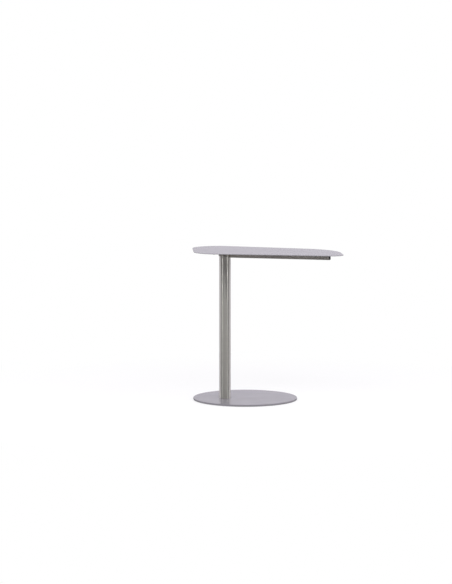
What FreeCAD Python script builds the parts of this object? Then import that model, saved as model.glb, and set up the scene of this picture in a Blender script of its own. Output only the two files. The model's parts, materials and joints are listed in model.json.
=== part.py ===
import FreeCAD, Part
import math
import os
import re
import Sketcher

# A C-shaped side table: a round steel base, a column that stands off-centre on it, and a thin
# top on a slim arm that swivels about the column.
#
# The frame is in millimetres with +Z up. The origin is the middle of the base on the floor, and
# +X points from the column to the middle of the base. What swivels is drawn with the column's
# axis at its own origin and the arm along its own +X, and is then turned to its rest angle.

SIZES = {
    # base disc, and the thin sheet under it
    "base_diameter": 350.0,
    "base_thickness": 6.0,
    "base_rim_round": 0.8,
    "underlay_thickness": 1.0,
    "underlay_setback": 8.0,
    "underlay_hole_margin": 2.0,
    "column_offset": 71.0,
    # column: a standard stainless tube
    "column_diameter": 38.1,
    "column_wall": 1.5,
    "column_length": 480.0,
    "edge_break": 0.3,
    # steel foot in the bottom of the column, its bolt and its two dowels
    "foot_length": 25.0,
    "bolt_diameter": 8.0,
    "bolt_length": 22.0,
    "bolt_head_diameter": 16.0,
    "bolt_sink": 0.3,
    "bolt_socket_width": 5.0,
    "bolt_socket_depth": 2.8,
    "bolt_hole_diameter": 9.0,
    "bolt_end_room": 2.0,
    "bolt_head_angle": 90.0,
    "dowel_diameter": 5.0,
    "dowel_length": 12.0,
    "dowel_seat_depth": 4.0,
    "dowel_end_room": 0.5,
    "dowel_circle_diameter": 26.0,
    # swivel bearing in the head of the column
    "spindle_diameter": 20.0,
    "bearing_depth": 100.0,
    "upper_bush_length": 30.0,
    "lower_bush_length": 25.0,
    "bush_edge_break": 0.6,
    "thrust_washer_thickness": 1.0,
    "thrust_washer_proud": 0.3,
    "thrust_washer_margin": 0.4,
    "thrust_washer_edge_break": 0.2,
    "shoulder_setback": 0.5,
    "thread_diameter": 12.0,
    "spindle_washer_diameter": 28.0,
    "spindle_washer_thickness": 2.0,
    "spring_outer_diameter": 25.0,
    "spring_thickness": 0.9,
    "spring_rise": 0.6,
    "locknut_width": 18.0,
    "locknut_height": 10.0,
    "locknut_collar_height": 2.0,
    "locknut_collar_diameter": 16.0,
    "spindle_end_spare": 3.0,
    # swivel head and arm
    "hub_overhang": 2.15,
    "hub_height": 15.5,
    "hub_edge_chamfer": 0.5,
    "flange_diameter": 116.0,
    "flange_fixing_circle": 84.0,
    "fixing_plate_thickness": 3.0,
    "arm_width": 20.0,
    "arm_height": 20.0,
    "arm_wall": 1.5,
    "arm_corner_radius": 1.0,
    "arm_end_inset": 41.5,
    "plug_cap_thickness": 0.8,
    "plug_cap_round": 0.3,
    "plug_insert_length": 14.0,
    "plug_insert_gap": 0.3,
    "plug_insert_wall": 2.0,
    "lug_length": 20.0,
    "lug_width": 16.0,
    "lug_corner_radius": 4.0,
    "lug_end_inset": 42.0,
    "lug_hole_reach": 11.0,
    # studs, washers and nuts that clamp the top to the flange and the lugs
    "stud_diameter": 5.0,
    "stud_hole_diameter": 5.8,
    "stud_spare": 1.5,
    "stud_point": 0.6,
    "washer_diameter": 10.0,
    "washer_thickness": 1.0,
    "nut_width": 8.0,
    "nut_height": 4.0,
    # top plate: a straight-sided outline whose four corners are rounded, each with its own radius;
    # the heel is the column's end and the toe the far end, and front is the side on the arm's right
    "top_thickness": 2.0,
    "top_rim_round": 0.4,
    "heel_back_behind": 173.5,
    "heel_back_out": 196.0,
    "heel_back_radius": 87.0,
    "toe_back_ahead": 352.5,
    "toe_back_out": 138.0,
    "toe_back_radius": 175.0,
    "toe_front_ahead": 432.0,
    "toe_front_out": 89.0,
    "toe_front_radius": 41.0,
    "heel_front_behind": 70.0,
    "heel_front_out": 129.5,
    "heel_front_radius": 94.0,
    # fits, as gaps at each side
    "running_gap": 0.05,
    "seat_gap": 0.02,
    "axial_play": 0.05,
    "cut_overrun": 5.0,
    # the top's turn from the base's middle line at rest, clockwise from above, in degrees
    "rest_swivel_angle": 31.5,
}

# Heights above the floor, and other sizes that follow from the sheet.
BASE_TOP = "(underlay_thickness + base_thickness)"
TUBE_BORE = "(column_diameter / 2 - column_wall)"
HUB_RADIUS = "(column_diameter / 2 + hub_overhang)"
TUBE_TOP = f"({BASE_TOP} + column_length)"
HUB_BOTTOM = f"({TUBE_TOP} + thrust_washer_proud + axial_play)"
TOP_UNDERSIDE = f"({HUB_BOTTOM} + hub_height)"
WASHER_SEAT = f"({TUBE_TOP} + thrust_washer_proud - thrust_washer_thickness)"
LOWER_BUSH_BOTTOM = f"({TUBE_TOP} - bearing_depth)"
SPINDLE_WASHER_BOTTOM = f"({LOWER_BUSH_BOTTOM} - axial_play - spindle_washer_thickness)"
SPRING_HEIGHT = "(spring_thickness + spring_rise)"
LOCKNUT_TOP = f"({SPINDLE_WASHER_BOTTOM} - 2 * {SPRING_HEIGHT} - 3 * seat_gap)"
LOCKNUT_BOTTOM = f"({LOCKNUT_TOP} - locknut_height - locknut_collar_height)"
SPINDLE_END = f"({LOCKNUT_BOTTOM} - spindle_end_spare)"
TOE_EDGE_SLOPE = "((toe_front_ahead - toe_back_ahead) / (toe_front_out + toe_back_out))"
TOE_EDGE_AHEAD = f"(toe_back_ahead + {TOE_EDGE_SLOPE} * toe_back_out)"
ARM_END = f"({TOE_EDGE_AHEAD} - arm_end_inset)"
FAR_LUG = f"({ARM_END} - lug_end_inset)"
MIDDLE_LUG = f"((flange_diameter / 2 + {FAR_LUG}) / 2)"
LUG_HOLE_OUT = "(arm_width / 2 + lug_hole_reach)"
HEAD_SLOPE = "tan(bolt_head_angle / 2 * 1deg)"
STUD_LENGTH = "(fixing_plate_thickness + washer_thickness + nut_height + stud_spare)"
FLANGE_HOLES = 4
HEX_SIDES = 6

doc = FreeCAD.newDocument("side_table")
sheet = doc.addObject("Spreadsheet::Sheet", "Sizes")
for row, (alias, size) in enumerate(SIZES.items(), start=1):
    sheet.set(f"A{row}", alias)
    sheet.set(f"B{row}", str(size))
    sheet.setAlias(f"B{row}", alias)
doc.recompute()

nodes = []


def full(expression):
    """The expression with each of the sheet's names written as the document needs it."""
    return re.sub(r"[a-z_]{4,}", lambda word: f"Sizes.{word[0]}" if word[0] in SIZES else word[0], expression)


def value(expression):
    """What an expression in the sheet's names comes to."""
    return float(sheet.evalExpression(full(expression)))


def bind(thing, **expressions):
    """Tie properties to expressions; two underscores in a name stand for a dot in its path."""
    for name, expression in expressions.items():
        thing.setExpression(name.replace("__", "."), full(expression))


def stand(node, piece, bottom, across="-column_offset"):
    """Name a finished piece that stands still, and set its height and its axis."""
    piece.Label = node
    bind(piece, Placement__Base__x=across, Placement__Base__z=bottom)
    nodes.append(piece)


def swivel(node, piece, bottom):
    """Name a finished piece that swivels, and turn it to its rest angle about the column's axis."""
    clockwise = FreeCAD.Vector(0, 0, -1)
    piece.Placement = FreeCAD.Placement(FreeCAD.Vector(), FreeCAD.Rotation(clockwise, 1))
    bind(piece, Placement__Rotation__Angle="rest_swivel_angle")
    stand(node, piece, bottom)


def new_body():
    return doc.addObject("PartDesign::Body", "body")


def new_sketch(body, plane):
    """A sketch on one of its body's own origin planes."""
    sketch = body.newObject("Sketcher::SketchObject", "outline")
    support = next(item for item in body.Origin.OriginFeatures if item.Role == plane)
    sketch.AttachmentSupport = [(support, "")]
    sketch.MapMode = "FlatFace"
    return sketch


def held_at(sketch, curve, end, across, up):
    """Hold one point of a sketch at a place given by two expressions."""
    for kind, expression in (("DistanceX", across), ("DistanceY", up)):
        rule = sketch.addConstraint(Sketcher.Constraint(kind, -1, 1, curve, end, value(expression)))
        sketch.setExpression(f"Constraints[{rule}]", full(expression))


def draw_circle(sketch, radius, across="0", up="0"):
    centre = FreeCAD.Vector(value(across), value(up), 0)
    curve = sketch.addGeometry(Part.Circle(centre, FreeCAD.Vector(0, 0, 1), value(radius)), False)
    rule = sketch.addConstraint(Sketcher.Constraint("Radius", curve, value(radius)))
    sketch.setExpression(f"Constraints[{rule}]", full(radius))
    if (across, up) == ("0", "0"):
        sketch.addConstraint(Sketcher.Constraint("Coincident", curve, 3, -1, 1))
    else:
        held_at(sketch, curve, 3, across, up)


def draw_outline(sketch, corners):
    """A closed straight-sided outline through corners that are pairs of expressions."""
    places = [FreeCAD.Vector(value(across), value(up), 0) for across, up in corners]
    first = sketch.GeometryCount
    for start, end in zip(places, places[1:] + places[:1]):
        sketch.addGeometry(Part.LineSegment(start, end), False)
    for index, (across, up) in enumerate(corners):
        following = first + (index + 1) % len(corners)
        sketch.addConstraint(Sketcher.Constraint("Coincident", first + index, 2, following, 1))
        held_at(sketch, first + index, 1, across, up)


def draw_rectangle(sketch, left, right, low, high):
    draw_outline(sketch, [(left, low), (right, low), (right, high), (left, high)])


def draw_hexagon(sketch, width, across="0", up="0"):
    """A regular hexagon of a given width across its flats, about a point."""
    corners = []
    for index in range(HEX_SIDES):
        angle = 2 * math.pi * index / HEX_SIDES
        corner_across = f"{across} + {width} / sqrt(3) * {math.cos(angle):.9f}"
        corners.append((corner_across, f"{up} + {width} / sqrt(3) * {math.sin(angle):.9f}"))
    draw_outline(sketch, corners)


def pad(body, sketch, length, along_normal=True):
    feature = body.newObject("PartDesign::Pad", "pad")
    feature.Profile = sketch
    feature.Reversed = not along_normal
    bind(feature, Length=length)
    doc.recompute()


def pocket(body, sketch, depth=None, along_normal=True):
    """Cut a sketch into its body along its normal or against it, to a depth or right through."""
    before = body.Shape.Volume
    feature = body.newObject("PartDesign::Pocket", "pocket")
    feature.Profile = sketch
    feature.Reversed = along_normal
    if depth:
        bind(feature, Length=depth)
    else:
        feature.Type = "ThroughAll"
    doc.recompute()
    if body.Shape.Volume >= before:
        raise RuntimeError(f"{sketch.Name}: its pocket cuts nothing")
    return feature


def turned(*outlines):
    """A piece turned on a lathe, from half of its section as pairs of radius and height."""
    body = new_body()
    sketch = new_sketch(body, "XZ_Plane")
    for corners in outlines:
        draw_outline(sketch, corners)
    feature = body.newObject("PartDesign::Revolution", "revolution")
    feature.Profile = sketch
    feature.ReferenceAxis = (sketch, ["V_Axis"])
    doc.recompute()
    return body


def dress_edges(body, kind, chosen, **sizes):
    """Fillet or chamfer the edges of a body that a test picks."""
    base = body.Tip
    picked = [f"Edge{count}" for count, edge in enumerate(base.Shape.Edges, start=1) if chosen(edge)]
    if not picked:
        raise RuntimeError(f"{base.Name}: no edge to dress")
    feature = body.newObject(kind, "edges")
    feature.Base = (base, picked)
    bind(feature, **sizes)
    doc.recompute()


def round_edges(body, radius, chosen):
    dress_edges(body, "PartDesign::Fillet", chosen, Radius=radius)


def chamfer_edges(body, size, chosen):
    dress_edges(body, "PartDesign::Chamfer", chosen, Size=size)


def level(edge):
    """Whether an edge lies flat."""
    return edge.BoundBox.ZLength < value("seat_gap")


def upright(edge):
    """Whether an edge is straight and stands upright."""
    return edge.BoundBox.DiagonalLength - edge.BoundBox.ZLength < value("seat_gap")


def stands_at(across, up):
    """A test for the upright edge through one point of the plan."""
    spot = FreeCAD.Vector(value(across), value(up), 0)

    def test(edge):
        foot = edge.BoundBox.Center
        return upright(edge) and math.hypot(foot.x - spot.x, foot.y - spot.y) < value("seat_gap")
    return test


def ring_corners(bore, outer, length, edge):
    """Half the section of a ring whose outer edges are broken at both ends."""
    return [
        (bore, "0"), (f"{outer} - {edge}", "0"), (outer, edge),
        (outer, f"{length} - {edge}"), (f"{outer} - {edge}", length), (bore, length),
    ]


def dowel_places(across):
    return [(across, f"{side}dowel_circle_diameter / 2") for side in ("", "-")]


def make_base_underlay():
    body = new_body()
    sketch = new_sketch(body, "XY_Plane")
    draw_circle(sketch, "base_diameter / 2 - underlay_setback")
    draw_circle(sketch, "bolt_head_diameter / 2 + underlay_hole_margin", "-column_offset")
    pad(body, sketch, "underlay_thickness")
    stand("base_underlay", body, "0", across="0")


def make_base_plate():
    """A disc with a countersunk hole for the bolt and two blind seats for the dowels."""
    body = new_body()
    sketch = new_sketch(body, "XY_Plane")
    draw_circle(sketch, "base_diameter / 2")
    pad(body, sketch, "base_thickness")
    round_edges(body, "base_rim_round", level)
    bore = new_sketch(body, "XY_Plane")
    draw_circle(bore, "bolt_hole_diameter / 2", "-column_offset")
    doc.recompute()
    hole = body.newObject("PartDesign::Hole", "hole")
    hole.Profile = bore
    doc.recompute()
    hole.DepthType = "ThroughAll"
    hole.Reversed = True
    hole.HoleCutType = "Countersink"
    hole.HoleCutCustomValues = True
    bind(hole, Diameter="bolt_hole_diameter", HoleCutCountersinkAngle="bolt_head_angle")
    bind(hole, HoleCutDiameter=f"bolt_head_diameter + 2 * bolt_sink * {HEAD_SLOPE} + 2 * seat_gap")
    doc.recompute()
    seats = new_sketch(body, "XY_Plane")
    bind(seats, AttachmentOffset__Base__z="base_thickness - dowel_seat_depth")
    for across, up in dowel_places("-column_offset"):
        draw_circle(seats, "dowel_diameter / 2 + seat_gap", across, up)
    pocket(body, seats)
    stand("base_plate", body, "underlay_thickness", across="0")


def make_base_bolt():
    """A countersunk screw that goes up through the base; its socket faces the floor."""
    shank = "bolt_diameter / 2"
    cone = f"(bolt_head_diameter / 2 - {shank}) / {HEAD_SLOPE}"
    body = turned([
        ("0", "0"), ("bolt_head_diameter / 2", "0"), (shank, cone),
        (shank, "bolt_length - edge_break"), (f"{shank} - edge_break", "bolt_length"), ("0", "bolt_length"),
    ])
    socket = new_sketch(body, "XY_Plane")
    draw_hexagon(socket, "bolt_socket_width")
    pocket(body, socket, "bolt_socket_depth")
    stand("base_bolt", body, "underlay_thickness + bolt_sink")


def make_column_foot():
    """A round steel plug with a blind thread and two blind seats for the dowels in its underside."""
    body = new_body()
    sketch = new_sketch(body, "XY_Plane")
    draw_circle(sketch, f"{TUBE_BORE} - seat_gap")
    pad(body, sketch, "foot_length")
    thread = new_sketch(body, "XY_Plane")
    draw_circle(thread, "bolt_diameter / 2 + seat_gap")
    pocket(body, thread, "bolt_length + bolt_sink - base_thickness + bolt_end_room")
    seats = new_sketch(body, "XY_Plane")
    for across, up in dowel_places("0"):
        draw_circle(seats, "dowel_diameter / 2 + seat_gap", across, up)
    pocket(body, seats, "dowel_length - dowel_seat_depth + dowel_end_room")
    stand("column_foot", body, BASE_TOP)


def make_foot_dowels():
    body = new_body()
    sketch = new_sketch(body, "XY_Plane")
    for across, up in dowel_places("0"):
        draw_circle(sketch, "dowel_diameter / 2", across, up)
    pad(body, sketch, "dowel_length")
    chamfer_edges(body, "edge_break", level)
    stand("foot_dowels", body, f"{BASE_TOP} - dowel_seat_depth")


def make_column_tube():
    tube = turned(ring_corners(TUBE_BORE, "column_diameter / 2", "column_length", "edge_break"))
    stand("column_tube", tube, BASE_TOP)


def make_bushes():
    bore = "spindle_diameter / 2 + running_gap"
    outer = f"{TUBE_BORE} - seat_gap"
    upper = turned(ring_corners(bore, outer, "upper_bush_length", "bush_edge_break"))
    stand("upper_bush", upper, f"{WASHER_SEAT} - upper_bush_length")
    lower = turned(ring_corners(bore, outer, "lower_bush_length", "bush_edge_break"))
    stand("lower_bush", lower, LOWER_BUSH_BOTTOM)


def make_thrust_washer():
    """A ring that stands a little proud of the tube and carries the hub."""
    outer = f"{TUBE_BORE} - thrust_washer_margin"
    bore = "spindle_diameter / 2 + thrust_washer_margin"
    washer = turned(ring_corners(bore, outer, "thrust_washer_thickness", "thrust_washer_edge_break"))
    stand("thrust_washer", washer, WASHER_SEAT)


def make_pivot_spindle():
    """Turned down to a thread below the lower bush, and flush with the hub at its head."""
    thick = "spindle_diameter / 2"
    thin = "thread_diameter / 2"
    shoulder = f"({LOWER_BUSH_BOTTOM} + shoulder_setback - {SPINDLE_END})"
    length = f"({TOP_UNDERSIDE} - {SPINDLE_END})"
    spindle = turned([
        ("0", "0"), (f"{thin} - edge_break", "0"), (thin, "edge_break"),
        (thin, shoulder), (f"{thick} - edge_break", shoulder), (thick, f"{shoulder} + edge_break"),
        (thick, length), ("0", length),
    ])
    swivel("pivot_spindle", spindle, SPINDLE_END)


def make_spindle_stack():
    """The washer under the lower bush, and the pair of disc springs set rim to rim under that."""
    bore = "thread_diameter / 2 + seat_gap"
    outer = "spindle_washer_diameter / 2"
    washer = turned(ring_corners(bore, outer, "spindle_washer_thickness", "edge_break"))
    swivel("spindle_washer", washer, SPINDLE_WASHER_BOTTOM)
    rim = "spring_outer_diameter / 2"
    stack = f"(2 * {SPRING_HEIGHT} + seat_gap)"
    lower = [(bore, "0"), (rim, "spring_rise"), (rim, SPRING_HEIGHT), (bore, "spring_thickness")]
    upper = [(out, f"{stack} - ({up})") for out, up in reversed(lower)]
    swivel("disc_springs", turned(lower, upper), f"{SPINDLE_WASHER_BOTTOM} - seat_gap - {stack}")


def make_spindle_locknut():
    """A hexagon with a round collar below it that grips the thread."""
    body = new_body()
    collar = new_sketch(body, "XY_Plane")
    draw_circle(collar, "locknut_collar_diameter / 2")
    pad(body, collar, "locknut_collar_height + locknut_height")
    flats = new_sketch(body, "XY_Plane")
    bind(flats, AttachmentOffset__Base__z="locknut_collar_height")
    draw_hexagon(flats, "locknut_width")
    pad(body, flats, "locknut_height")
    bore = new_sketch(body, "XY_Plane")
    draw_circle(bore, "thread_diameter / 2 + seat_gap")
    pocket(body, bore)
    swivel("spindle_locknut", body, LOCKNUT_BOTTOM)


def make_swivel_hub():
    """A short collar, a little wider than the column, bored for the spindle."""
    bore = "spindle_diameter / 2 + seat_gap"
    lower_edge = [(f"{HUB_RADIUS} - hub_edge_chamfer", "0"), (HUB_RADIUS, "hub_edge_chamfer")]
    hub = turned([(bore, "0"), *lower_edge, (HUB_RADIUS, "hub_height"), (bore, "hub_height")])
    swivel("swivel_hub", hub, HUB_BOTTOM)


def flange_hole(index):
    """Where a flange hole lies, seen from the column's axis with the arm along X."""
    angle = 2 * math.pi * (index + 0.5) / FLANGE_HOLES
    reach = "flange_fixing_circle / 2"
    return f"{reach} * {math.cos(angle):.9f}", f"{reach} * {math.sin(angle):.9f}"


def lug_holes():
    return [(along, f"{side}{LUG_HOLE_OUT}") for along in (MIDDLE_LUG, FAR_LUG) for side in ("", "-")]


def fixing_places():
    return [flange_hole(index) for index in range(FLANGE_HOLES)] + lug_holes()


def make_head_flange():
    """A thin disc round the hub, slotted for the arm and flush with the tops of both."""
    body = new_body()
    sketch = new_sketch(body, "XY_Plane")
    draw_circle(sketch, "flange_diameter / 2")
    pad(body, sketch, "fixing_plate_thickness")
    seat = new_sketch(body, "XY_Plane")
    draw_circle(seat, f"{HUB_RADIUS} + seat_gap")
    pocket(body, seat)
    slot = new_sketch(body, "XY_Plane")
    half = "(arm_width / 2 + seat_gap)"
    draw_rectangle(slot, "0", "flange_diameter / 2 + cut_overrun", f"-{half}", half)
    pocket(body, slot)
    hole = new_sketch(body, "XY_Plane")
    draw_circle(hole, "stud_hole_diameter / 2", *flange_hole(0))
    drilled = pocket(body, hole)
    pattern = body.newObject("PartDesign::PolarPattern", "holes")
    pattern.Originals = [drilled]
    pattern.Axis = (sketch, ["N_Axis"])
    pattern.Angle = 360
    pattern.Occurrences = FLANGE_HOLES
    body.Tip = pattern
    doc.recompute()
    swivel("head_flange", body, f"{TOP_UNDERSIDE} - fixing_plate_thickness")


def draw_arm_section(sketch, inset="0"):
    """The arm's square, or one set in from it, with the sketch's X across the arm and Y up."""
    half = f"(arm_width / 2 - {inset})"
    draw_rectangle(sketch, f"-{half}", half, inset, f"arm_height - {inset}")


def make_arm_tube():
    """A square tube, coped at its root to sit against the round hub."""
    body = new_body()
    section = new_sketch(body, "YZ_Plane")
    draw_arm_section(section)
    pad(body, section, ARM_END)
    round_edges(body, "arm_corner_radius", lambda edge: edge.BoundBox.XLength > value(ARM_END) / 2)
    bore = new_sketch(body, "YZ_Plane")
    draw_arm_section(bore, "arm_wall")
    pocket(body, bore)
    cope = new_sketch(body, "XY_Plane")
    draw_circle(cope, f"{HUB_RADIUS} + seat_gap")
    pocket(body, cope)
    swivel("arm_tube", body, f"{TOP_UNDERSIDE} - arm_height")


def make_arm_end_plug():
    """A cap over the tube's end with a hollow insert that grips its walls."""
    body = new_body()
    cap = new_sketch(body, "YZ_Plane")
    draw_arm_section(cap)
    pad(body, cap, "plug_cap_thickness")
    half_cap = value("plug_cap_thickness / 2")
    round_edges(body, "arm_corner_radius", lambda edge: edge.BoundBox.XLength > half_cap)
    round_edges(body, "plug_cap_round", lambda edge: edge.BoundBox.XMin > half_cap)
    insert = new_sketch(body, "YZ_Plane")
    draw_arm_section(insert, "(arm_wall + plug_insert_gap)")
    pad(body, insert, "plug_insert_length", along_normal=False)
    hollow = new_sketch(body, "YZ_Plane")
    draw_arm_section(hollow, "(arm_wall + plug_insert_gap + plug_insert_wall)")
    pocket(body, hollow, "plug_insert_length", along_normal=False)
    swivel("arm_end_plug", body, f"{TOP_UNDERSIDE} - arm_height")
    reach = f"({ARM_END} + seat_gap)"
    bind(body, Placement__Base__x=f"-column_offset + {reach} * cos(rest_swivel_angle * 1deg)")
    bind(body, Placement__Base__y=f"-{reach} * sin(rest_swivel_angle * 1deg)")


def make_arm_lugs():
    """Short flat bars on both sides of the arm, each with a hole for a stud."""
    body = new_body()
    bars = new_sketch(body, "XY_Plane")
    near = "(arm_width / 2 + seat_gap)"
    far = f"({near} + lug_length)"
    for along in (MIDDLE_LUG, FAR_LUG):
        left, right = f"{along} - lug_width / 2", f"{along} + lug_width / 2"
        draw_rectangle(bars, left, right, near, far)
        draw_rectangle(bars, left, right, f"-{far}", f"-{near}")
    pad(body, bars, "fixing_plate_thickness")
    outer = value(f"{near} + lug_length / 2")
    round_edges(body, "lug_corner_radius", lambda edge: upright(edge) and abs(edge.BoundBox.YMin) > outer)
    holes = new_sketch(body, "XY_Plane")
    for along, out in lug_holes():
        draw_circle(holes, "stud_hole_diameter / 2", along, out)
    pocket(body, holes)
    swivel("arm_lugs", body, f"{TOP_UNDERSIDE} - fixing_plate_thickness")


def make_top_plate():
    corners = {
        "heel_back_radius": ("-heel_back_behind", "heel_back_out"),
        "toe_back_radius": ("toe_back_ahead", "toe_back_out"),
        "toe_front_radius": ("toe_front_ahead", "-toe_front_out"),
        "heel_front_radius": ("-heel_front_behind", "-heel_front_out"),
    }
    body = new_body()
    sketch = new_sketch(body, "XY_Plane")
    draw_outline(sketch, list(corners.values()))
    pad(body, sketch, "top_thickness")
    for radius, (along, out) in corners.items():
        round_edges(body, radius, stands_at(along, out))
    round_edges(body, "top_rim_round", level)
    swivel("top_plate", body, TOP_UNDERSIDE)


def make_fixings():
    """A stud under the plate at each hole, with its washer and its nut."""
    studs, washers, nuts = new_body(), new_body(), new_body()
    shanks = new_sketch(studs, "XY_Plane")
    rings = new_sketch(washers, "XY_Plane")
    hexagons = new_sketch(nuts, "XY_Plane")
    for along, out in fixing_places():
        draw_circle(shanks, "stud_diameter / 2", along, out)
        draw_circle(rings, "washer_diameter / 2", along, out)
        draw_circle(rings, "stud_hole_diameter / 2", along, out)
        draw_hexagon(hexagons, "nut_width", along, out)
        draw_circle(hexagons, "stud_diameter / 2 + seat_gap", along, out)
    pad(studs, shanks, STUD_LENGTH)
    chamfer_edges(studs, "stud_point", lambda edge: level(edge) and edge.BoundBox.ZMin < value("stud_point"))
    pad(washers, rings, "washer_thickness")
    pad(nuts, hexagons, "nut_height")
    washer_bottom = f"({TOP_UNDERSIDE} - fixing_plate_thickness - washer_thickness)"
    swivel("top_studs", studs, f"{TOP_UNDERSIDE} - {STUD_LENGTH}")
    swivel("fixing_washers", washers, washer_bottom)
    swivel("fixing_nuts", nuts, f"{washer_bottom} - nut_height")


def check_document():
    """Stop if any feature has failed, or if a piece has no sound shape."""
    doc.recompute()
    for thing in doc.Objects:
        if {"Invalid", "Error"} & set(thing.State):
            raise RuntimeError(f"{thing.Label} failed: {thing.State}")
    for piece in nodes:
        if piece.Shape.isNull() or not piece.Shape.isValid():
            raise RuntimeError(f"{piece.Label} has no valid shape")


def write_parts():
    os.makedirs("parts", exist_ok=True)
    for piece in nodes:
        piece.Shape.exportStep(f"parts/{piece.Label}.step")
        print(f"{piece.Label}: {len(piece.Shape.Solids)} solid(s), {piece.Shape.Volume:.1f} mm3")


make_base_underlay()
make_base_plate()
make_base_bolt()
make_column_foot()
make_foot_dowels()
make_column_tube()
make_bushes()
make_thrust_washer()
make_pivot_spindle()
make_spindle_stack()
make_spindle_locknut()
make_swivel_hub()
make_head_flange()
make_arm_tube()
make_arm_end_plug()
make_arm_lugs()
make_top_plate()
make_fixings()
check_document()
write_parts()
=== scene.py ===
"""Looks of a side table: a lacquered disc base, a brushed stainless column and arm, and a thin lacquered top.

Everything is in metres, with +Z up, the floor at zero and the column's axis on the base's X axis.
"""
import json
import math

import bmesh
import bpy
from mathutils import Matrix, Vector


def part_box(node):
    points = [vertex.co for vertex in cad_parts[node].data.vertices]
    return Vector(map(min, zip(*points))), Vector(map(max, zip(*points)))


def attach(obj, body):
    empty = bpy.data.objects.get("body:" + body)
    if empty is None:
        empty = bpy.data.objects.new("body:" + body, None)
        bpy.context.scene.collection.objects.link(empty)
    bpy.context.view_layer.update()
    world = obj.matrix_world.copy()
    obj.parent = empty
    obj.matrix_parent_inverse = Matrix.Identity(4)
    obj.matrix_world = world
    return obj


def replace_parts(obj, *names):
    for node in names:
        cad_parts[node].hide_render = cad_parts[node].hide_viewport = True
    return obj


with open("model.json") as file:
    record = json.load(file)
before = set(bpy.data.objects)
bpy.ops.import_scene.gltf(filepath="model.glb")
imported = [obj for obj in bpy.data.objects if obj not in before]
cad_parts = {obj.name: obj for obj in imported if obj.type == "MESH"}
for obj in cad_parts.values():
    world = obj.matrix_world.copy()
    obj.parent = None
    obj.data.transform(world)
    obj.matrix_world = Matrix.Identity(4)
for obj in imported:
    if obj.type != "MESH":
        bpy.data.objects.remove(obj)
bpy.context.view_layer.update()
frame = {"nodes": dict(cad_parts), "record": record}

MM = 0.001

# The photograph's camera, fitted to the base's ellipse, the column and the top's outline
FRAME_HEIGHT_PX = 584
FOCAL_PX = 2399.32
SENSOR = 36.0
CAMERA_DISTANCE = 8.0
CAMERA_REACH = 100.0
CAMERA_HEIGHT = 1206.5 * MM
CAMERA_ASIDE = 3.44 * MM
CAMERA_PITCH = math.radians(5.998)
CAMERA_AZIMUTH = math.radians(-16.2254)

# The room round the table, where a brightness of 1 looks white. Metal and clear coat mirror its dim front,
# while paint gets a soft fill from there. Its sides are bright near the floor and less so high up.
ROOM_FRONT = 0.03
ROOM_FILL = 0.45
ROOM_SIDES_LOW = 2.0
ROOM_SIDES_HIGH = 0.9
ROOM_BACK = 1.0
ROOM_TINT = "#faf6ff"
# where one passes into the next, by how much a ray points away from the camera, or up
SIDES_START = -0.08
SIDES_END = 0.07
BACK_START = 0.4
BACK_END = 0.9
SIDES_TOP = 0.35

# The floor's colour in the open, its painted shadow near the table as metal mirrors it, and its colour as it
# lights the paint
FLOOR_COLOUR = "#989898"
FLOOR_PAINTED_SHADOW = "#787878"
PAINTED_SHADOW_REACH = 0.25
FLOOR_BOUNCE = "#f4f4f4"
# what the camera sees of it is lifted to white, and is plain white where no shadow reaches
FLOOR_LIFT = 0.67
SHADOW_REACH = 0.6
# it lies a hair under the table, so that it and the underlay never fill the same plane
FLOOR_GAP = 0.2 * MM
FLOOR_RADIUS = 30.0
FLOOR_SIDES = 96

# Softboxes, where a brightness of 1 looks white
LIT_HEIGHT = 0.3
OVERHEAD_BRIGHTNESS = 0.1
OVERHEAD_WIDTH = 4.0
OVERHEAD_UP = 2.6
OVERHEAD_AHEAD = 0.01
# brightness of those in front, by their angle towards the picture's right
KEY_BRIGHTNESS = {-65.0: 1.6, 0.0: 3.55, 65.0: 2.3}
KEY_AHEAD = 2.0
KEY_UP = 2.4
KEY_WIDTH = 2.2
KEY_HEIGHT = 1.2
STRIP_AZIMUTH = 52.0
STRIP_DISTANCE = 0.8
STRIP_WIDTH = 0.055
# lower and upper ends, and brightness on the left and the right, of the strips on each stand
STRIPS = {"upper": (0.32, 0.52, 6.0, 7.2), "lower": (0.06, 0.32, 5.6, 5.6)}

# Finishes. Nearly all of a noise texture's values lie between these two.
NOISE_LOW = 0.3
NOISE_HIGH = 0.7
LACQUER_COLOUR = "#8a888d"
LACQUER_SHADE = "#858388"
PIGMENT_ROUGHNESS = 0.5
PIGMENT_SPREAD = 0.05
PIGMENT_SPECULAR = 0.1
CLOUD_SIZE = 2.2222 * MM
WIPE_SIZE = 83.333 * MM
# a satin clear coat mirrors about half as much as a full gloss
COAT_SHARE = 0.5
COAT_ROUGHNESS = 0.03
COAT_IOR = 1.5
PEEL_SIZE = 6.25 * MM
PEEL_DEPTH = 0.15 * MM
# brushing lines on tube and arm
GRAIN_SPACING = 0.4 * MM
GRAIN_LENGTH = 40.0 * MM
GRAIN_DEPTH = 0.01 * MM
TUBE_ROUGHNESS = 0.33
TUBE_SPREAD = 0.02
TUBE_ANISOTROPY = 1.0
ARM_ROUGHNESS = 0.37
ARM_SPREAD = 0.03
ARM_ANISOTROPY = 0.8
# turning marks on the hub
RING_SPACING = 0.30303 * MM
RING_LENGTH = 66.667 * MM
RING_DEPTH = 0.02 * MM
HUB_ROUGHNESS = 0.45
HUB_ANISOTROPY = 0.8
# a quarter turn, so that the lines that the tangent follows spread a reflection across themselves
ACROSS_GRAIN = 0.25
TOOL_MARK_SIZE = 1.4286 * MM
TOOL_MARK_SPREAD = 0.15
MOULD_GRAIN_SIZE = 0.5 * MM
MOULD_GRAIN_DEPTH = 0.05 * MM
HEAT_TINT_SIZE = 6.25 * MM
HEAT_TINT_START = 0.42
HEAT_TINT_END = 0.68
SCRATCH_SIZE = 0.4 * MM
WELD_ROUGHNESS = 0.39
WELD_SPREAD = 0.11
FIBRE_SIZE = 1.6667 * MM
FIBRE_DEPTH = 0.3 * MM

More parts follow.
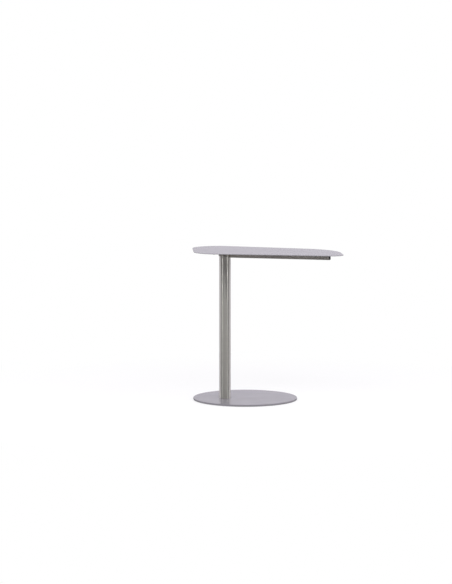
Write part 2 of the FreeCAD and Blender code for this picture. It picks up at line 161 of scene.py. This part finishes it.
# Welds and fasteners, at real size
ARM_WIDTH = 20.0 * MM
BEAD_WIDTH = 3.6 * MM
BEAD_SINK = 0.3 * MM
BEAD_SIDES = 12
BEAD_END_SHARE = 0.4
RIPPLE = 1.2 * MM
RIPPLE_DEPTH = 0.14
STEPS_PER_RIPPLE = 4
LUG_BEAD_LENGTH = 13.2 * MM
LUG_REACH = 30.0 * MM
NUT_WIDTH = 8.0 * MM
NUT_HEIGHT = 4.0 * MM
NUT_REACH = 12.0 * MM
NUT_SINK = 0.35 * MM
NUT_SIDE_ANGLE = math.radians(60)
NUT_CONE_SHARE = 0.96
NUT_CONE_SLOPE = math.tan(math.radians(30))
NUT_STEPS = 36
NUT_TURN = math.radians(23)
STUD_DIAMETER = 5.0 * MM
STUD_CORE_DIAMETER = 4.1 * MM
STUD_LENGTH = 9.5 * MM
STUD_POINT = 0.6 * MM
PITCH = 0.8 * MM
THREAD_SINK = 0.05 * MM
THREAD_STEPS = 16
MERGE_REACH = 0.001 * MM

# Directions on the floor, seen from the camera: away from it, and to the picture's right
AWAY = Vector((-math.sin(CAMERA_AZIMUTH), math.cos(CAMERA_AZIMUTH), 0))
RIGHT = Vector((math.cos(CAMERA_AZIMUTH), math.sin(CAMERA_AZIMUTH), 0))
UP = Vector((0, 0, 1))
# a quarter turn about Y carries Z to X, and X straight down
QUARTER_TURN = Matrix.Rotation(math.radians(90), 3, "Y")


def middle(node):
    """The middle of a CAD node's box."""
    low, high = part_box(node)
    return (low + high) / 2


column_axis = middle("column_tube") * Vector((1, 1, 0))
arm_plug = middle("arm_end_plug") * Vector((1, 1, 0))
ARM_DIRECTION = (arm_plug - column_axis).normalized()


def linear(colour):
    """An sRGB hex colour as linear RGBA."""
    channels = [int(colour[place:place + 2], 16) / 255 for place in (1, 3, 5)]
    return (*[c / 12.92 if c <= 0.04045 else ((c + 0.055) / 1.055) ** 2.4 for c in channels], 1)


def add_node(tree, kind, inputs=None, **settings):
    """One node with its settings, and its inputs as values or as the sockets that feed them."""
    node = tree.nodes.new(kind)
    for name, setting in settings.items():
        setattr(node, name, setting)
    for socket, source in (inputs or {}).items():
        if isinstance(source, bpy.types.NodeSocket):
            tree.links.new(source, node.inputs[socket])
        else:
            node.inputs[socket].default_value = source
    return node


def new_tree(owner):
    """The node tree of a material or the world, emptied."""
    owner.use_nodes = True
    owner.node_tree.nodes.clear()
    return owner.node_tree


def new_material(name):
    """A new material and its empty node tree."""
    material = bpy.data.materials.new(name)
    return material, new_tree(material)


def finish_material(tree, shader):
    """Let a shader feed the output of its tree."""
    add_node(tree, "ShaderNodeOutputMaterial", {"Surface": shader.outputs[0]})


# Materials

def clear_coated_lacquer():
    """Sheet steel in mid-grey lacquer under a satin clear coat. At a low angle the coat mirrors the room, so
    the plates look paler than they are, and what stands on them shows in them. An orange peel ripples it."""
    material, tree = new_material("clear_coated_lacquer")
    place = add_node(tree, "ShaderNodeTexCoord").outputs["Object"]
    # pigment that lies a little thicker in places, drawn as 2 mm clouds so that it shows
    cloud = add_node(tree, "ShaderNodeTexNoise", {"Vector": place, "Scale": 1 / CLOUD_SIZE, "Detail": 3.0})
    tone = add_node(tree, "ShaderNodeMix", {
        "Factor": cloud.outputs["Fac"], "A": linear(LACQUER_COLOUR), "B": linear(LACQUER_SHADE)},
        data_type="RGBA")
    # where a cloth has wiped it, over about 80 mm
    wipes = add_node(tree, "ShaderNodeTexNoise", {"Vector": place, "Scale": 1 / WIPE_SIZE, "Detail": 2.0})
    rough = add_node(tree, "ShaderNodeMapRange", {
        "Value": wipes.outputs["Fac"], "From Min": NOISE_LOW, "From Max": NOISE_HIGH,
        "To Min": PIGMENT_ROUGHNESS - PIGMENT_SPREAD, "To Max": PIGMENT_ROUGHNESS + PIGMENT_SPREAD})
    # orange peel of about 3 mm, drawn twice as coarse as real so that it shows
    peel = add_node(tree, "ShaderNodeTexNoise", {"Vector": place, "Scale": 1 / PEEL_SIZE, "Detail": 1.0})
    bump = add_node(tree, "ShaderNodeBump", {
        "Height": peel.outputs["Fac"], "Strength": 0.06, "Distance": PEEL_DEPTH})
    shader = add_node(tree, "ShaderNodeBsdfPrincipled", {
        "Base Color": tone.outputs["Result"], "Roughness": rough.outputs["Result"],
        "Specular IOR Level": PIGMENT_SPECULAR, "Coat Weight": COAT_SHARE, "Coat Roughness": COAT_ROUGHNESS,
        "Coat IOR": COAT_IOR, "Coat Normal": bump.outputs["Normal"]})
    finish_material(tree, shader)
    return material


def brushed_stainless_tube():
    """Stainless tube polished with a belt that ran round it: reflections spread along the tube."""
    material, tree = new_material("brushed_stainless_tube")
    place = add_node(tree, "ShaderNodeTexCoord").outputs["Object"]
    # grain lines round the tube, 0.4 mm apart and about 40 mm long
    stretched = add_node(tree, "ShaderNodeMapping", {
        "Vector": place, "Scale": (1 / GRAIN_LENGTH, 1 / GRAIN_LENGTH, 1 / GRAIN_SPACING)})
    grain = add_node(tree, "ShaderNodeTexNoise", {
        "Vector": stretched.outputs[0], "Scale": 1.0, "Detail": 2.0})
    tone = add_node(tree, "ShaderNodeMix", {
        "Factor": grain.outputs["Fac"], "A": linear("#cbc9c1"), "B": linear("#e0dfd7")},
        data_type="RGBA")
    rough = add_node(tree, "ShaderNodeMapRange", {
        "Value": grain.outputs["Fac"], "From Min": NOISE_LOW, "From Max": NOISE_HIGH,
        "To Min": TUBE_ROUGHNESS - TUBE_SPREAD, "To Max": TUBE_ROUGHNESS + TUBE_SPREAD})
    bump = add_node(tree, "ShaderNodeBump", {
        "Height": grain.outputs["Fac"], "Strength": 0.25, "Distance": GRAIN_DEPTH})
    round_tube = add_node(tree, "ShaderNodeTangent", direction_type="RADIAL", axis="Z")
    shader = add_node(tree, "ShaderNodeBsdfPrincipled", {
        "Base Color": tone.outputs["Result"], "Metallic": 1.0, "Roughness": rough.outputs["Result"],
        "Anisotropic": TUBE_ANISOTROPY, "Anisotropic Rotation": ACROSS_GRAIN,
        "Tangent": round_tube.outputs[0], "Normal": bump.outputs["Normal"]})
    finish_material(tree, shader)
    return material


def turned_stainless_hub():
    """Stainless collar left as turned: fine rings round it, duller than the polished tube, and darker in
    colour, partly as painted shade from the top just above it.
    """
    material, tree = new_material("turned_stainless_hub")
    place = add_node(tree, "ShaderNodeTexCoord").outputs["Object"]
    # turning marks 0.3 mm apart
    stretched = add_node(tree, "ShaderNodeMapping", {
        "Vector": place, "Scale": (1 / RING_LENGTH, 1 / RING_LENGTH, 1 / RING_SPACING)})
    rings = add_node(tree, "ShaderNodeTexNoise", {
        "Vector": stretched.outputs[0], "Scale": 1.0, "Detail": 2.0})
    # tones darker than the tube's: the turned finish, and partly painted shade from the top above the hub
    tone = add_node(tree, "ShaderNodeMix", {
        "Factor": rings.outputs["Fac"], "A": linear("#9d9a93"), "B": linear("#b0ada6")},
        data_type="RGBA")
    bump = add_node(tree, "ShaderNodeBump", {
        "Height": rings.outputs["Fac"], "Strength": 0.3, "Distance": RING_DEPTH})
    round_hub = add_node(tree, "ShaderNodeTangent", direction_type="RADIAL", axis="Z")
    shader = add_node(tree, "ShaderNodeBsdfPrincipled", {
        "Base Color": tone.outputs["Result"], "Metallic": 1.0, "Roughness": HUB_ROUGHNESS,
        "Anisotropic": HUB_ANISOTROPY, "Anisotropic Rotation": ACROSS_GRAIN, "Tangent": round_hub.outputs[0],
        "Normal": bump.outputs["Normal"]})
    finish_material(tree, shader)
    return material


def brushed_stainless_arm():
    """Square stainless tube brushed along its length."""
    material, tree = new_material("brushed_stainless_arm")
    place = add_node(tree, "ShaderNodeTexCoord").outputs["Object"]
    turn = math.atan2(ARM_DIRECTION.y, ARM_DIRECTION.x)
    along = add_node(tree, "ShaderNodeMapping", {"Vector": place, "Rotation": (0, 0, -turn)})
    # grain lines along the arm, 0.4 mm apart and about 40 mm long
    stretched = add_node(tree, "ShaderNodeMapping", {
        "Vector": along.outputs[0], "Scale": (1 / GRAIN_LENGTH, 1 / GRAIN_SPACING, 1 / GRAIN_SPACING)})
    grain = add_node(tree, "ShaderNodeTexNoise", {
        "Vector": stretched.outputs[0], "Scale": 1.0, "Detail": 2.0})
    tone = add_node(tree, "ShaderNodeMix", {
        "Factor": grain.outputs["Fac"], "A": linear("#b7b3aa"), "B": linear("#ccc9c1")},
        data_type="RGBA")
    rough = add_node(tree, "ShaderNodeMapRange", {
        "Value": grain.outputs["Fac"], "From Min": NOISE_LOW, "From Max": NOISE_HIGH,
        "To Min": ARM_ROUGHNESS - ARM_SPREAD, "To Max": ARM_ROUGHNESS + ARM_SPREAD})
    bump = add_node(tree, "ShaderNodeBump", {
        "Height": grain.outputs["Fac"], "Strength": 0.25, "Distance": GRAIN_DEPTH})
    lengthwise = add_node(tree, "ShaderNodeVectorTransform", {"Vector": tuple(ARM_DIRECTION)},
                          vector_type="VECTOR", convert_from="OBJECT", convert_to="WORLD")
    shader = add_node(tree, "ShaderNodeBsdfPrincipled", {
        "Base Color": tone.outputs["Result"], "Metallic": 1.0, "Roughness": rough.outputs["Result"],
        "Anisotropic": ARM_ANISOTROPY, "Anisotropic Rotation": ACROSS_GRAIN, "Tangent": lengthwise.outputs[0],
        "Normal": bump.outputs["Normal"]})
    finish_material(tree, shader)
    return material


def worked_steel(name, colour, shade, roughness):
    """Bright or plated steel as it comes off a machine: fine uneven marks in tone and gloss."""
    material, tree = new_material(name)
    place = add_node(tree, "ShaderNodeTexCoord").outputs["Object"]
    marks = add_node(tree, "ShaderNodeTexNoise", {
        "Vector": place, "Scale": 1 / TOOL_MARK_SIZE, "Detail": 4.0})
    tone = add_node(tree, "ShaderNodeMix", {
        "Factor": marks.outputs["Fac"], "A": linear(colour), "B": linear(shade)},
        data_type="RGBA")
    rough = add_node(tree, "ShaderNodeMapRange", {
        "Value": marks.outputs["Fac"], "From Min": NOISE_LOW, "From Max": NOISE_HIGH,
        "To Min": roughness * (1 - TOOL_MARK_SPREAD), "To Max": roughness * (1 + TOOL_MARK_SPREAD)})
    shader = add_node(tree, "ShaderNodeBsdfPrincipled", {
        "Base Color": tone.outputs["Result"], "Metallic": 1.0, "Roughness": rough.outputs["Result"]})
    finish_material(tree, shader)
    return material


def moulded_plastic(name, colour, shade, roughness, specular):
    """Moulded plastic with a fine spark-eroded grain of about 0.5 mm."""
    material, tree = new_material(name)
    place = add_node(tree, "ShaderNodeTexCoord").outputs["Object"]
    grain = add_node(tree, "ShaderNodeTexNoise", {
        "Vector": place, "Scale": 1 / MOULD_GRAIN_SIZE, "Detail": 2.0})
    tone = add_node(tree, "ShaderNodeMix", {
        "Factor": grain.outputs["Fac"], "A": linear(colour), "B": linear(shade)},
        data_type="RGBA")
    bump = add_node(tree, "ShaderNodeBump", {
        "Height": grain.outputs["Fac"], "Strength": 0.3, "Distance": MOULD_GRAIN_DEPTH})
    shader = add_node(tree, "ShaderNodeBsdfPrincipled", {
        "Base Color": tone.outputs["Result"], "Roughness": roughness, "Normal": bump.outputs["Normal"],
        "Specular IOR Level": specular})
    finish_material(tree, shader)
    return material


def weld_metal():
    """Bare stainless weld bead, brushed off but still straw to brown where the heat stayed longest."""
    material, tree = new_material("heat_tinted_weld_bead")
    place = add_node(tree, "ShaderNodeTexCoord").outputs["Object"]
    # heat tint that comes and goes over about 6 mm
    heat = add_node(tree, "ShaderNodeTexNoise", {
        "Vector": place, "Scale": 1 / HEAT_TINT_SIZE, "Detail": 3.0})
    tint = add_node(tree, "ShaderNodeMapRange", {
        "Value": heat.outputs["Fac"], "From Min": HEAT_TINT_START, "From Max": HEAT_TINT_END})
    tone = add_node(tree, "ShaderNodeMix", {
        "Factor": tint.outputs["Result"], "A": linear("#b9b6b1"), "B": linear("#8d7452")},
        data_type="RGBA")
    scratches = add_node(tree, "ShaderNodeTexNoise", {
        "Vector": place, "Scale": 1 / SCRATCH_SIZE, "Detail": 2.0})
    rough = add_node(tree, "ShaderNodeMapRange", {
        "Value": scratches.outputs["Fac"], "From Min": NOISE_LOW, "From Max": NOISE_HIGH,
        "To Min": WELD_ROUGHNESS - WELD_SPREAD, "To Max": WELD_ROUGHNESS + WELD_SPREAD})
    shader = add_node(tree, "ShaderNodeBsdfPrincipled", {
        "Base Color": tone.outputs["Result"], "Metallic": 1.0, "Roughness": rough.outputs["Result"]})
    finish_material(tree, shader)
    return material


def needle_felt():
    """Dark needled felt with no gloss, its matted fibres drawn in tufts of under 2 mm."""
    material, tree = new_material("needle_felt")
    place = add_node(tree, "ShaderNodeTexCoord").outputs["Object"]
    fibres = add_node(tree, "ShaderNodeTexNoise", {
        "Vector": place, "Scale": 1 / FIBRE_SIZE, "Detail": 4.0})
    tone = add_node(tree, "ShaderNodeMix", {
        "Factor": fibres.outputs["Fac"], "A": linear("#1d1d20"), "B": linear("#4a4a4e")},
        data_type="RGBA")
    bump = add_node(tree, "ShaderNodeBump", {
        "Height": fibres.outputs["Fac"], "Strength": 0.6, "Distance": FIBRE_DEPTH})
    shader = add_node(tree, "ShaderNodeBsdfPrincipled", {
        "Base Color": tone.outputs["Result"], "Roughness": 0.95, "Sheen Weight": 0.3,
        "Normal": bump.outputs["Normal"]})
    finish_material(tree, shader)
    return material


def make_finishes():
    """Every finish, by the name of its material slot in the record."""
    return {
        "underlay_felt": needle_felt(),
        "base_lacquer": clear_coated_lacquer(),
        "top_lacquer": clear_coated_lacquer(),
        "column_stainless": brushed_stainless_tube(),
        "head_stainless": turned_stainless_hub(),
        "arm_stainless": brushed_stainless_arm(),
        "plug_plastic": moulded_plastic(
            "black_polyethylene", "#141312", "#1c1b1a", roughness=0.7, specular=0.1),
        "bearing_plastic": moulded_plastic(
            "natural_acetal", "#dcdad2", "#e6e4dc", roughness=0.35, specular=0.5),
        "machined_steel": worked_steel("turned_bright_steel", "#a9a9ab", "#b9b9bb", roughness=0.3),
        "fastener_steel": worked_steel("zinc_plated_steel", "#b4b5b3", "#c6c7c2", roughness=0.35),
        "spring_steel": worked_steel("phosphated_spring_steel", "#4c4a47", "#5a5854", roughness=0.5),
    }


def dress_nodes(finishes):
    """Give each CAD node the finish of its record slot."""
    for row in frame["record"]["subparts"]:
        piece = frame["nodes"][row["node"]]
        if not piece.material_slots:
            piece.data.materials.append(None)
        for slot in piece.material_slots:
            slot.material = finishes[row["material_slot"]]


# Welds and fasteners under the top. The beads are made with the column's axis at zero and the arm along X.

def solid_middles(node, reach):
    """The middles of a CAD node's separate solids, each of which is smaller than a reach."""
    solids = []
    for vertex in frame["nodes"][node].data.vertices:
        near = [corners for corners in solids if (corners[0] - vertex.co).length < reach]
        if near:
            near[0].append(vertex.co.copy())
        else:
            solids.append([vertex.co.copy()])
    middles = []
    for corners in solids:
        spans = [(min(values), max(values)) for values in zip(*corners)]
        middles.append(Vector([(low + high) / 2 for low, high in spans]))
    return middles


def add_piece(name, shape, finish):
    """Make a finished piece of a bmesh. It swivels with the top."""
    bmesh.ops.remove_doubles(shape, verts=shape.verts, dist=MERGE_REACH)
    bmesh.ops.recalc_face_normals(shape, faces=shape.faces)
    mesh = bpy.data.meshes.new(name)
    shape.to_mesh(mesh)
    shape.free()
    mesh.materials.append(finish)
    piece = bpy.data.objects.new(name, mesh)
    bpy.context.scene.collection.objects.link(piece)
    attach(piece, "top")
    return piece


def lay_bead(shape, length):
    """Add a weld bead along X from zero, rippled as its pools set in turn, and give its vertices."""
    others = set(shape.verts)
    steps = round(length / RIPPLE) * STEPS_PER_RIPPLE
    ring = bmesh.ops.create_circle(shape, cap_ends=True, radius=BEAD_WIDTH / 2, segments=BEAD_SIDES)["verts"]
    bmesh.ops.rotate(shape, verts=ring, cent=(0, 0, 0), matrix=QUARTER_TURN)
    edges = {edge for vertex in ring for edge in vertex.link_edges}
    faces = {face for vertex in ring for face in vertex.link_faces}
    bmesh.ops.spin(shape, geom=[*ring, *edges, *faces], cent=(0, 0, 0), axis=(1, 0, 0), angle=0,
                   steps=steps, dvec=(length / steps, 0, 0))
    bead = [vertex for vertex in shape.verts if vertex not in others]
    for vertex in bead:
        pool = (vertex.co.x / RIPPLE) % 1
        from_end = min(vertex.co.x, length - vertex.co.x) / BEAD_WIDTH
        swell = (1 - RIPPLE_DEPTH * pool ** 2) * min(1, BEAD_END_SHARE + from_end)
        vertex.co.y *= swell
        vertex.co.z *= swell
    return bead


def lay_round_bead(shape, radius, level, first, last):
    """A bead bent round the column's axis, from one angle to another."""
    for vertex in lay_bead(shape, radius * (last - first)):
        angle = first + vertex.co.x / radius
        out = radius + vertex.co.y
        vertex.co = Vector((out * math.cos(angle), out * math.sin(angle), level + vertex.co.z))


def turn_to_arm(shape):
    """Carry what was made along X to the column's axis and the arm's direction."""
    turn = Matrix.Rotation(math.atan2(ARM_DIRECTION.y, ARM_DIRECTION.x), 3, "Z")
    bmesh.ops.rotate(shape, verts=shape.verts, cent=(0, 0, 0), matrix=turn)
    bmesh.ops.translate(shape, verts=shape.verts, vec=column_axis)


def make_head_welds(finish):
    """The beads that join hub, flange and arm, seen from below."""
    hub_low, hub_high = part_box("swivel_hub")
    flange_low, flange_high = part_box("head_flange")
    hub_radius = (hub_high.x - hub_low.x) / 2
    flange_radius = (flange_high.x - flange_low.x) / 2
    level = flange_low.z - BEAD_SINK
    side = ARM_WIDTH / 2 + BEAD_SINK
    shape = bmesh.new()
    clear = math.asin((ARM_WIDTH / 2 + BEAD_WIDTH / 2) / hub_radius)
    lay_round_bead(shape, hub_radius + BEAD_SINK, level, clear, 2 * math.pi - clear)
    root = math.sqrt(hub_radius ** 2 - (ARM_WIDTH / 2) ** 2) + BEAD_SINK
    rise = level - hub_low.z - BEAD_WIDTH / 2
    for hand in (-1, 1):
        along = lay_bead(shape, flange_radius - hub_radius - BEAD_WIDTH)
        bmesh.ops.translate(shape, verts=along, vec=(hub_radius + BEAD_WIDTH / 2, hand * side, level))
        upright = lay_bead(shape, rise)
        bmesh.ops.rotate(shape, verts=upright, cent=(0, 0, 0), matrix=QUARTER_TURN)
        bmesh.ops.translate(shape, verts=upright, vec=(root, hand * side, level))
    turn_to_arm(shape)
    add_piece("head_weld_beads", shape, finish)


def make_lug_welds(finish):
    """A short bead under each lug, along the arm's side."""
    shape = bmesh.new()
    across = Vector((-ARM_DIRECTION.y, ARM_DIRECTION.x, 0))
    for middle_place in solid_middles("arm_lugs", LUG_REACH):
        from_axis = middle_place - column_axis
        hand = math.copysign(1, from_axis.dot(across))
        along = lay_bead(shape, LUG_BEAD_LENGTH)
        bmesh.ops.translate(shape, verts=along, vec=(
            from_axis.dot(ARM_DIRECTION) - LUG_BEAD_LENGTH / 2, hand * (ARM_WIDTH / 2 + BEAD_SINK),
            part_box("arm_lugs")[0].z - BEAD_SINK))
    turn_to_arm(shape)
    add_piece("lug_weld_beads", shape, finish)


def spin_section(shape, section, steps):
    """Turn a closed section of radius and height round Z, and give its vertices."""
    others = set(shape.verts)
    ring = [shape.verts.new((out, 0, up)) for out, up in section]
    edges = [shape.edges.new((ring[index - 1], ring[index])) for index in range(len(ring))]
    bmesh.ops.spin(shape, geom=[*ring, *edges], cent=(0, 0, 0), axis=(0, 0, 1), angle=2 * math.pi,
                   steps=steps, use_merge=True)
    return [vertex for vertex in shape.verts if vertex not in others]


def add_nut(shape, middle_place, turn):
    """A hexagon nut whose lower corners are cut by a cone, with a countersunk bore."""
    flat = NUT_WIDTH / 2
    cone_radius = flat * NUT_CONE_SHARE
    bore = STUD_DIAMETER / 2
    half = NUT_HEIGHT / 2
    nut = spin_section(shape, [
        (bore, half), (flat, half), (flat, -half), (cone_radius, -half), (bore + NUT_SINK, -half),
        (bore, NUT_SINK - half)], NUT_STEPS)
    for vertex in nut:
        out = math.hypot(vertex.co.x, vertex.co.y)
        if out < flat - MERGE_REACH:
            continue
        angle = math.atan2(vertex.co.y, vertex.co.x) % NUT_SIDE_ANGLE - NUT_SIDE_ANGLE / 2
        stretch = 1 / math.cos(angle)
        vertex.co.x *= stretch
        vertex.co.y *= stretch
        if vertex.co.z < 0:
            vertex.co.z += (out * stretch - cone_radius) * NUT_CONE_SLOPE
    bmesh.ops.rotate(shape, verts=nut, cent=(0, 0, 0), matrix=Matrix.Rotation(turn, 3, "Z"))
    bmesh.ops.translate(shape, verts=nut, vec=middle_place)


def add_stud(shape, middle_place):
    """A threaded stud: a core with a pointed end, and one ridge wound round it."""
    half = STUD_LENGTH / 2
    core = STUD_CORE_DIAMETER / 2
    others = set(shape.verts)
    spin_section(shape, [
        (0, half), (core, half), (core, STUD_POINT - half), (core - STUD_POINT, -half), (0, -half)],
        THREAD_STEPS)
    root = core - THREAD_SINK
    section = [(root, 0, half), (STUD_DIAMETER / 2, 0, half - PITCH / 2), (root, 0, half - PITCH)]
    tooth = [shape.verts.new(corner) for corner in section]
    face = shape.faces.new(tooth)
    turns = math.floor((STUD_LENGTH - STUD_POINT) / PITCH) - 1
    bmesh.ops.spin(shape, geom=[*tooth, *face.edges, face], cent=(0, 0, 0), axis=(0, 0, 1),
                   angle=2 * math.pi * turns, steps=THREAD_STEPS * turns,
                   dvec=(0, 0, -PITCH / THREAD_STEPS))
    stud = [vertex for vertex in shape.verts if vertex not in others]
    bmesh.ops.translate(shape, verts=stud, vec=middle_place)


def make_fixings(finish):
    """Chamfered nuts and threaded studs in place of the plain ones."""
    nuts = bmesh.new()
    for count, middle_place in enumerate(solid_middles("fixing_nuts", NUT_REACH)):
        add_nut(nuts, middle_place, count * NUT_TURN)
    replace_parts(add_piece("chamfered_fixing_nuts", nuts, finish), "fixing_nuts")
    studs = bmesh.new()
    for middle_place in solid_middles("top_studs", NUT_REACH):
        add_stud(studs, middle_place)
    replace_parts(add_piece("threaded_top_studs", studs, finish), "top_studs")


# Studio

def make_floor():
    """A floor that the camera sees lifted to white, with the table's shadow. Metal mirrors it in grey, with a
    painted shadow near the table.
    """
    mesh = bpy.data.meshes.new("floor")
    shape = bmesh.new()
    bmesh.ops.create_circle(shape, cap_ends=True, radius=FLOOR_RADIUS, segments=FLOOR_SIDES,
                            matrix=Matrix.Translation((0, 0, -FLOOR_GAP)))
    shape.to_mesh(mesh)
    shape.free()
    floor = bpy.data.objects.new("floor", mesh)
    bpy.context.scene.collection.objects.link(floor)
    material, tree = new_material("white_studio_floor")
    path = add_node(tree, "ShaderNodeLightPath")
    place = add_node(tree, "ShaderNodeTexCoord").outputs["Object"]
    away = add_node(tree, "ShaderNodeVectorMath", {0: place}, operation="LENGTH")
    far = add_node(tree, "ShaderNodeMapRange", {
        "Value": away.outputs["Value"], "From Min": SHADOW_REACH, "From Max": SHADOW_REACH * 2},
        interpolation_type="SMOOTHSTEP")
    # painted shadow: for mirror rays the floor's colour is painted darker near the table, and the column's
    # foot mirrors it
    unshaded = add_node(tree, "ShaderNodeMapRange", {
        "Value": away.outputs["Value"], "From Min": PAINTED_SHADOW_REACH, "From Max": PAINTED_SHADOW_REACH * 2},
        interpolation_type="SMOOTHSTEP")
    shaded = add_node(tree, "ShaderNodeMix", {
        "Factor": unshaded.outputs["Result"], "A": linear(FLOOR_PAINTED_SHADOW), "B": linear(FLOOR_COLOUR)},
        data_type="RGBA")
    mirrored = add_node(tree, "ShaderNodeMix", {
        "Factor": path.outputs["Is Glossy Ray"], "A": linear(FLOOR_COLOUR), "B": shaded.outputs["Result"]},
        data_type="RGBA")
    colour = add_node(tree, "ShaderNodeMix", {
        "Factor": path.outputs["Is Diffuse Ray"], "A": mirrored.outputs["Result"], "B": linear(FLOOR_BOUNCE)},
        data_type="RGBA")
    paint = add_node(tree, "ShaderNodeBsdfDiffuse", {"Color": colour.outputs["Result"]})
    lift = add_node(tree, "ShaderNodeEmission", {"Strength": FLOOR_LIFT})
    lifted = add_node(tree, "ShaderNodeAddShader", {0: paint.outputs[0], 1: lift.outputs[0]})
    white = add_node(tree, "ShaderNodeEmission", {"Strength": 1.0})
    pictured = add_node(tree, "ShaderNodeMixShader", {
        0: far.outputs["Result"], 1: lifted.outputs[0], 2: white.outputs[0]})
    seen = add_node(tree, "ShaderNodeMixShader", {
        0: path.outputs["Is Camera Ray"], 1: paint.outputs[0], 2: pictured.outputs[0]})
    finish_material(tree, seen)
    mesh.materials.append(material)


def make_world():
    """White to the camera. To the table it is a room: white behind it, bright low at its sides and dim in
    front, with a soft fill from there on paint alone."""
    world = bpy.data.worlds.new("studio")
    bpy.context.scene.world = world
    tree = new_tree(world)
    path = add_node(tree, "ShaderNodeLightPath")
    ray = add_node(tree, "ShaderNodeTexCoord").outputs["Generated"]
    depth = add_node(tree, "ShaderNodeVectorMath", {0: ray, 1: tuple(AWAY)}, operation="DOT_PRODUCT")
    upward = add_node(tree, "ShaderNodeSeparateXYZ", {0: ray}).outputs["Z"]
    wall = add_node(tree, "ShaderNodeMapRange", {
        "Value": upward, "From Min": 0.0, "From Max": SIDES_TOP,
        "To Min": ROOM_SIDES_LOW, "To Max": ROOM_SIDES_HIGH})
    front = add_node(tree, "ShaderNodeMix", {
        "Factor": path.outputs["Is Diffuse Ray"], "A": ROOM_FRONT, "B": ROOM_FILL}, data_type="FLOAT")
    sides = add_node(tree, "ShaderNodeMapRange", {
        "Value": depth.outputs["Value"], "From Min": SIDES_START, "From Max": SIDES_END,
        "To Min": front.outputs["Result"], "To Max": wall.outputs["Result"]}, interpolation_type="SMOOTHSTEP")
    room = add_node(tree, "ShaderNodeMapRange", {
        "Value": depth.outputs["Value"], "From Min": BACK_START, "From Max": BACK_END,
        "To Min": sides.outputs["Result"], "To Max": ROOM_BACK}, interpolation_type="SMOOTHSTEP")
    strength = add_node(tree, "ShaderNodeMix", {
        "Factor": path.outputs["Is Camera Ray"], "A": room.outputs["Result"], "B": 1.0}, data_type="FLOAT")
    colour = add_node(tree, "ShaderNodeMix", {
        "Factor": path.outputs["Is Camera Ray"], "A": linear(ROOM_TINT), "B": linear("#ffffff")},
        data_type="RGBA")
    background = add_node(tree, "ShaderNodeBackground", {
        "Color": colour.outputs["Result"], "Strength": strength.outputs["Result"]})
    add_node(tree, "ShaderNodeOutputWorld", {"Surface": background.outputs[0]})


def make_softbox(name, place, target, width, height, brightness):
    """A rectangular softbox at a place, turned to face a target."""
    lamp = bpy.data.lights.new(name, "AREA")
    lamp.shape = "RECTANGLE"
    lamp.size = width
    lamp.size_y = height
    lamp.energy = brightness * math.pi * width * height
    holder = bpy.data.objects.new(name, lamp)
    holder.rotation_mode = "QUATERNION"
    holder.location = place
    holder.rotation_quaternion = (target - place).to_track_quat("-Z", "Y")
    bpy.context.scene.collection.objects.link(holder)


def around(azimuth, distance, height):
    """A point at an angle from the camera's side of the table, positive to the picture's right."""
    angle = math.radians(azimuth)
    return column_axis + (RIGHT * math.sin(angle) - AWAY * math.cos(angle)) * distance + UP * height


def make_lights():
    """A large softbox overhead, three in front of the table, and two narrow ones on a stand at each side."""
    target = column_axis + UP * LIT_HEIGHT
    overhead = around(0, OVERHEAD_AHEAD, OVERHEAD_UP)
    make_softbox("overhead_softbox", overhead, target, OVERHEAD_WIDTH, OVERHEAD_WIDTH, OVERHEAD_BRIGHTNESS)
    for count, (azimuth, brightness) in enumerate(KEY_BRIGHTNESS.items(), start=1):
        place = around(azimuth, KEY_AHEAD, KEY_UP)
        make_softbox(f"front_softbox_{count}", place, target, KEY_WIDTH, KEY_HEIGHT, brightness)
    for share, (low, high, left, right) in STRIPS.items():
        for side, azimuth, brightness in (("left", -STRIP_AZIMUTH, left), ("right", STRIP_AZIMUTH, right)):
            place = around(azimuth, STRIP_DISTANCE, (low + high) / 2)
            level = column_axis + UP * place.z
            make_softbox(f"{side}_{share}_strip_softbox", place, level, STRIP_WIDTH, high - low, brightness)


def make_camera():
    """The photograph's camera."""
    camera = bpy.data.cameras.new("photo_camera")
    camera.sensor_width = SENSOR
    camera.lens = FOCAL_PX / FRAME_HEIGHT_PX * SENSOR
    camera.clip_end = CAMERA_REACH
    holder = bpy.data.objects.new("photo_camera", camera)
    holder.rotation_mode = "QUATERNION"
    holder.location = column_axis + RIGHT * CAMERA_ASIDE - AWAY * CAMERA_DISTANCE + UP * CAMERA_HEIGHT
    gaze = AWAY * math.cos(CAMERA_PITCH) - UP * math.sin(CAMERA_PITCH)
    holder.rotation_quaternion = gaze.to_track_quat("-Z", "Y")
    bpy.context.scene.collection.objects.link(holder)
    bpy.context.scene.camera = holder


make_camera()
finishes = make_finishes()
dress_nodes(finishes)
weld_finish = weld_metal()
make_head_welds(weld_finish)
make_lug_welds(weld_finish)
make_fixings(finishes["fastener_steel"])
make_floor()
make_world()
make_lights()
bpy.context.scene.view_settings.view_transform = "Standard"
